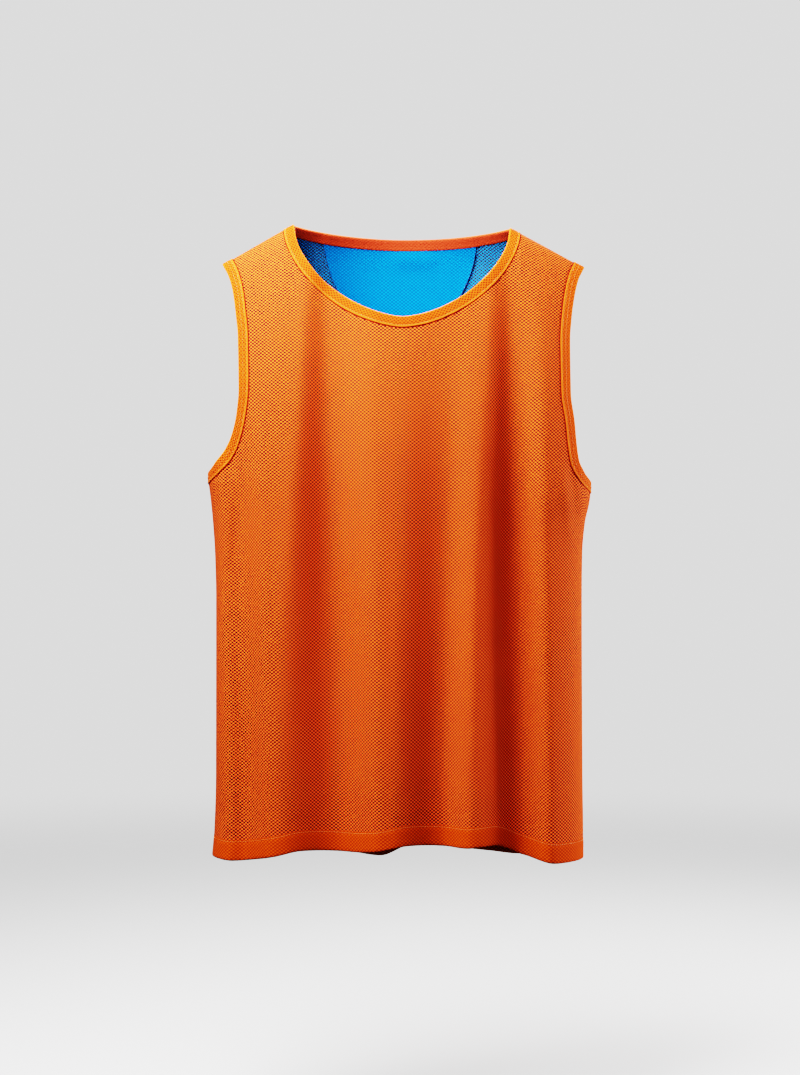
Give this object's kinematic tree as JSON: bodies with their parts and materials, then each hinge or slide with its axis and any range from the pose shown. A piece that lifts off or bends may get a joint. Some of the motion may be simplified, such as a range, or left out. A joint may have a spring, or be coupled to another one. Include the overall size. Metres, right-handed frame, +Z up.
{
  "type": "training bib",
  "caption": "Reversible sleeveless mesh training bib with bound neck and armholes, filled out as if worn, orange outside and blue inside.",
  "frame": {"origin": "between the two shoulder seams at the height of the neck, where the wearer's shoulders carry the bib", "axes": "+Z up, -Y towards the front of the bib, +X towards the wearer's left"},
  "size_m": [0.434, 0.1447, 0.7194],
  "materials": {
    "orange_knit": "soft mesh knit with a slight sheen",
    "blue_knit": "soft mesh knit with a slight sheen",
    "orange_binding": "smooth knit tape"
  },
  "bodies": {
    "root": {"front_panel": "orange_knit", "back_panel": "orange_knit", "front_lining": "blue_knit", "back_lining": "blue_knit", "back_neck_patch": "blue_knit", "neck_binding": "orange_binding", "armhole_binding_right": "orange_binding", "armhole_binding_left": "orange_binding", "front_hem": "orange_binding", "back_hem": "orange_binding"}
  },
  "joints": []
}
